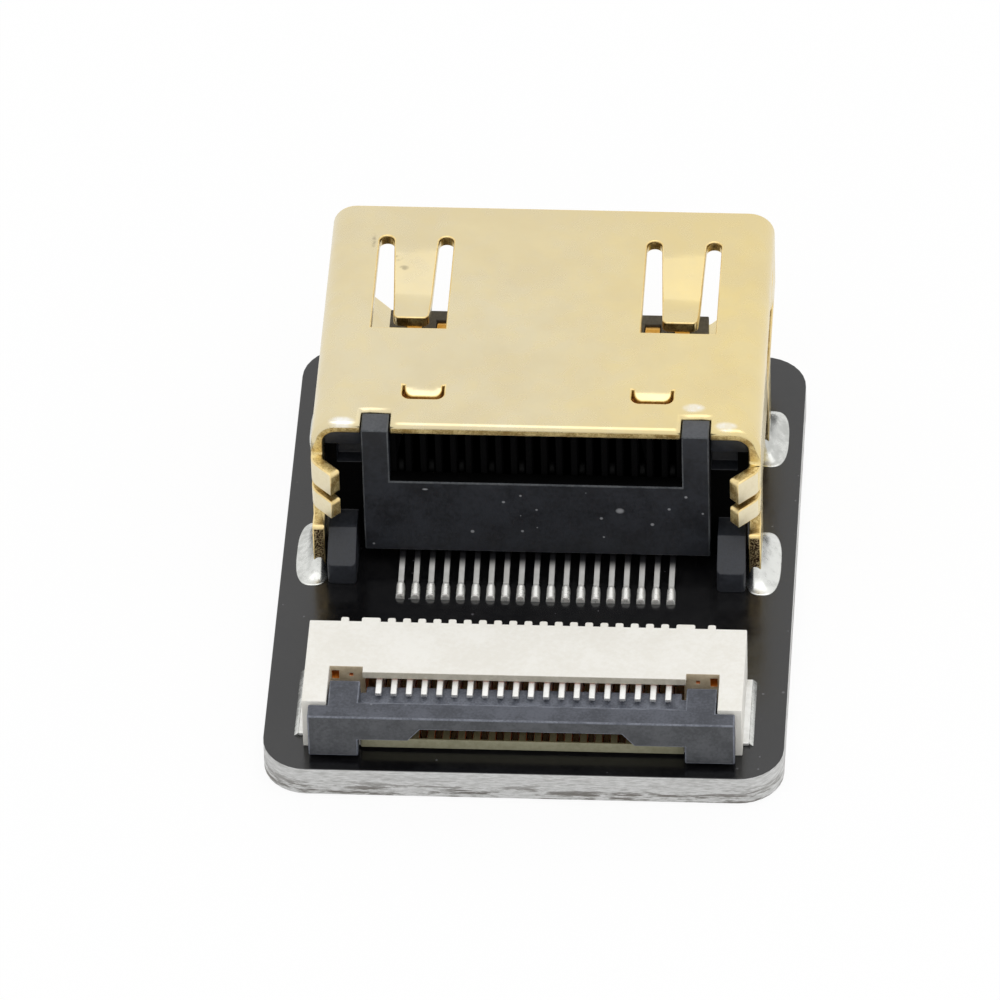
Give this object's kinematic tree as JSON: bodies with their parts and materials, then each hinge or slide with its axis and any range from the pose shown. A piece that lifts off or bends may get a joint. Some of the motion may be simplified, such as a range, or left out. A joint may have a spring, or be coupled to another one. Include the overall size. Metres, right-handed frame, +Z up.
{
  "type": "hdmi socket",
  "caption": "Small adapter board carrying a gold-plated type-A video socket and a flat-cable connector with a slide lock.",
  "frame": {"origin": "centre of the circuit board's underside", "axes": "+Z up out of the board's top face, +Y the way the socket's mouth faces, +X across the board"},
  "size_m": [0.0172, 0.0215, 0.0071],
  "materials": {
    "solder_mask": "satin black solder mask on a grey glass-fibre laminate",
    "gold_plate": "gold plated, bright",
    "insulator_black": "moulded",
    "spacer_black": "moulded",
    "contact_tin": "tin plated",
    "solder": "bright solder",
    "housing_white": "moulded",
    "slider_grey": "moulded, matte",
    "fork_tin": "tin plated",
    "tin_plate": "tin plated"
  },
  "bodies": {
    "board": {"circuit_board": "solder_mask", "socket_shell": "gold_plate", "socket_insulator": "insulator_black", "tail_spacer": "spacer_black", "contact_01": "contact_tin", "contact_02": "contact_tin", "contact_03": "contact_tin", "contact_04": "contact_tin", "contact_05": "contact_tin", "contact_06": "contact_tin", "contact_07": "contact_tin", "contact_08": "contact_tin", "contact_09": "contact_tin", "contact_10": "contact_tin", "contact_11": "contact_tin", "contact_12": "contact_tin", "contact_13": "contact_tin", "contact_14": "contact_tin", "contact_15": "contact_tin", "contact_16": "contact_tin", "contact_17": "contact_tin", "contact_18": "contact_tin", "contact_19": "contact_tin", "leg_solder": "solder", "tail_solder": "solder", "flex_housing": "housing_white", "flex_contact_01": "fork_tin", "flex_contact_02": "fork_tin", "flex_contact_03": "fork_tin", "flex_contact_04": "fork_tin", "flex_contact_05": "fork_tin", "flex_contact_06": "fork_tin", "flex_contact_07": "fork_tin", "flex_contact_08": "fork_tin", "flex_contact_09": "fork_tin", "flex_contact_10": "fork_tin", "flex_contact_11": "fork_tin", "flex_contact_12": "fork_tin", "flex_contact_13": "fork_tin", "flex_contact_14": "fork_tin", "flex_contact_15": "fork_tin", "flex_contact_16": "fork_tin", "flex_contact_17": "fork_tin", "flex_contact_18": "fork_tin", "flex_contact_19": "fork_tin", "flex_contact_20": "fork_tin", "hold_down_left": "tin_plate", "hold_down_right": "tin_plate", "flex_solder": "solder"},
    "slider": {"flex_slider": "slider_grey"}
  },
  "joints": [
    {"name": "slider_lock", "type": "slide", "parent": "board", "child": "slider", "axis": [0, -1, 0], "range_m": [0, 0.001]}
  ]
}
